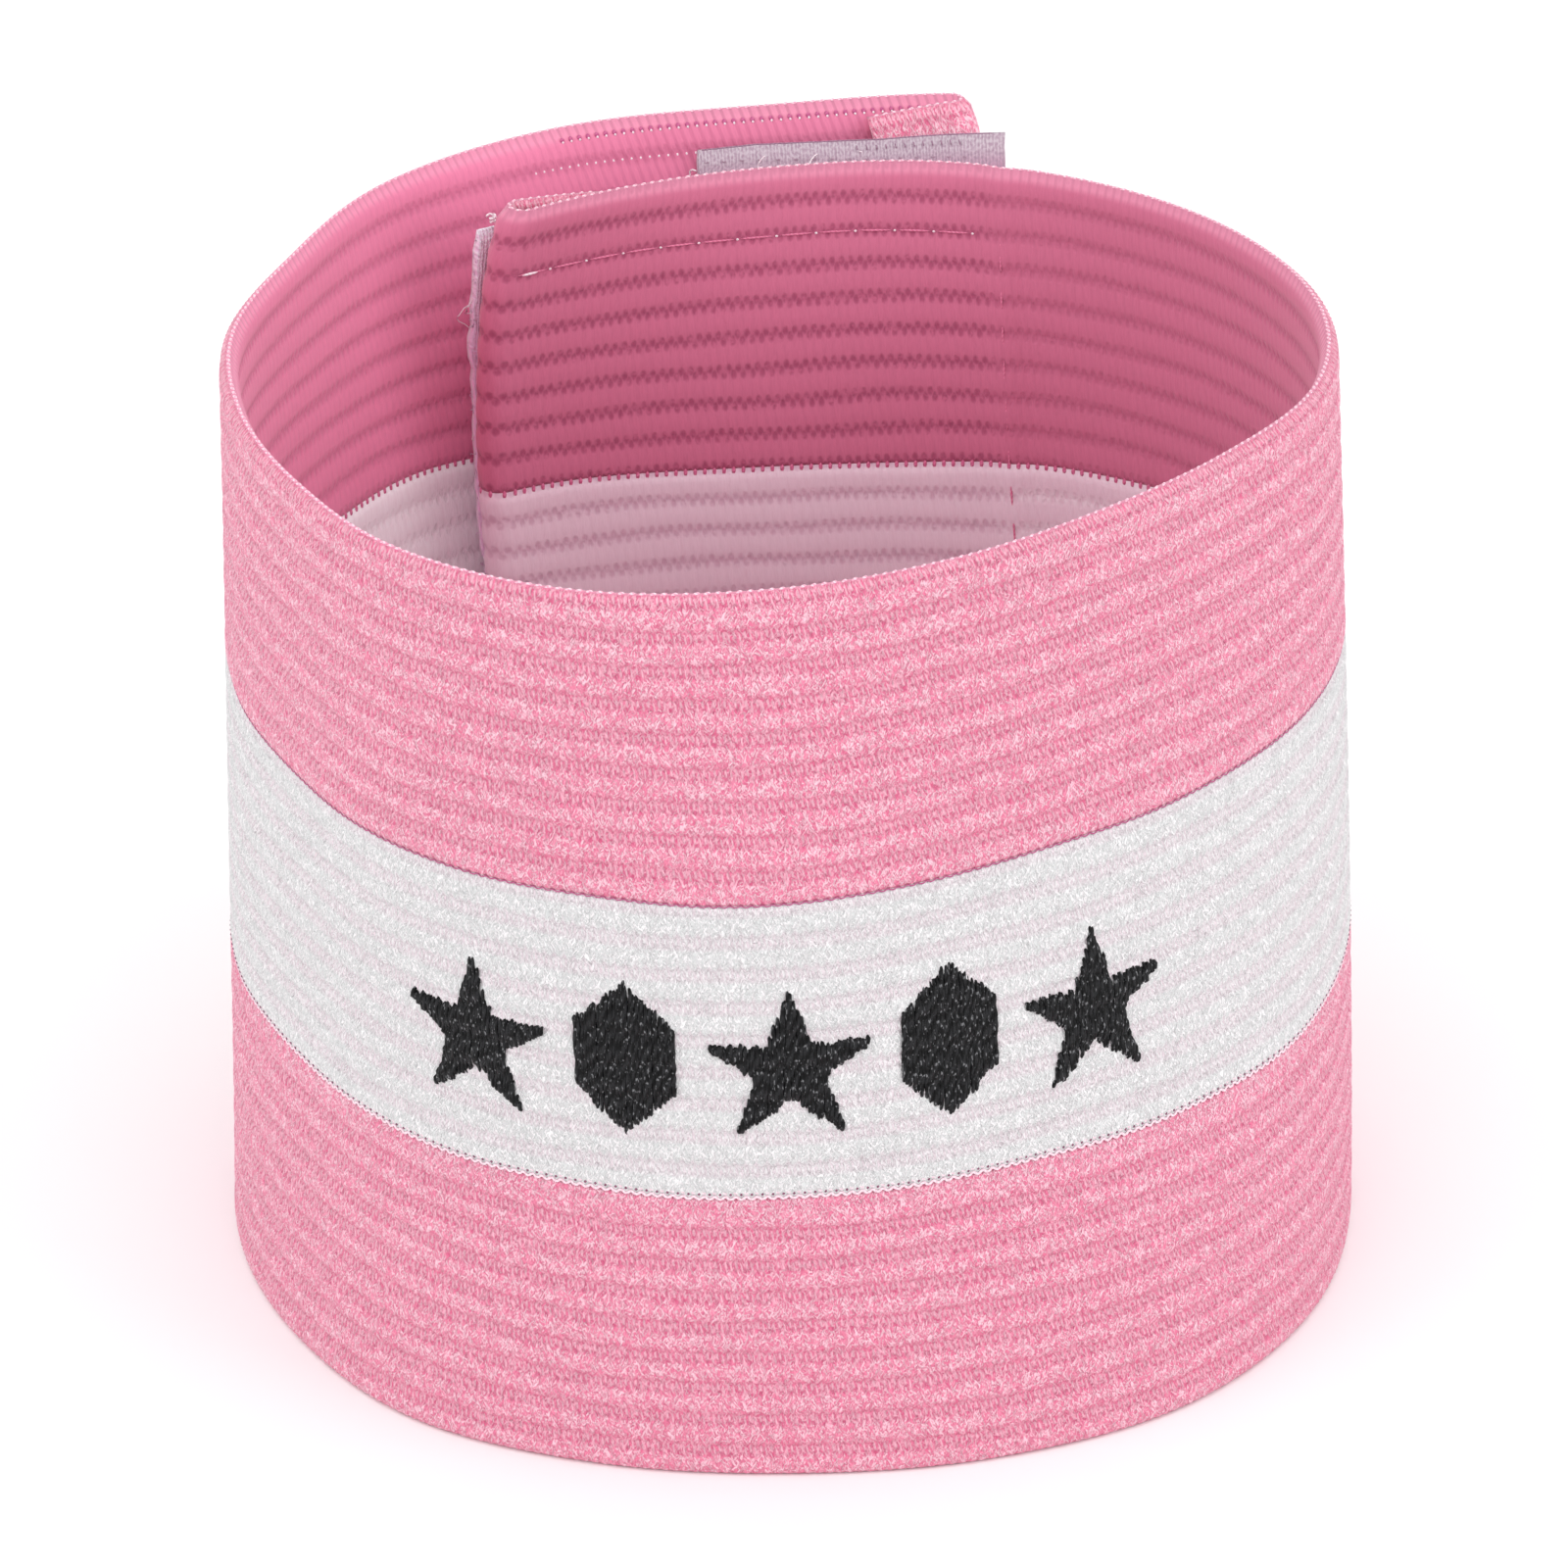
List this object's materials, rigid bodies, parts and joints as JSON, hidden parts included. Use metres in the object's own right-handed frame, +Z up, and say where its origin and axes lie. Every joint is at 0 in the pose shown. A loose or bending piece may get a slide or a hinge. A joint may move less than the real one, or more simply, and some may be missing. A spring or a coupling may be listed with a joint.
{
  "type": "elastic captain armband",
  "caption": "Ribbed elastic sports armband with pink and white stripes, closed into a loop by hook-and-loop tape, with dark embroidered shapes on the front.",
  "frame": {"origin": "centre of the bounding box in plan, at the level of the lower edge that the band stands on", "axes": "+Z up across the strap from the lower edge to the upper edge, -Y towards the embroidered front, +Y towards the closure, +X to the right seen from the front"},
  "size_m": [0.0858, 0.094, 0.07],
  "materials": {
    "knit": "ribbed elastic knit, matt with a soft sheen, pink with a white middle stripe",
    "soft_tape": "brushed loop pile, white",
    "hook_tape": "woven nylon hook tape, white",
    "thread": "black satin-stitch embroidery"
  },
  "bodies": {
    "root": {"elastic_band": "knit", "loop_tape": "soft_tape", "hook_tape": "hook_tape", "embroidered_motif_1": "thread", "embroidered_motif_2": "thread", "embroidered_motif_3": "thread", "embroidered_motif_4": "thread", "embroidered_motif_5": "thread"}
  },
  "joints": []
}
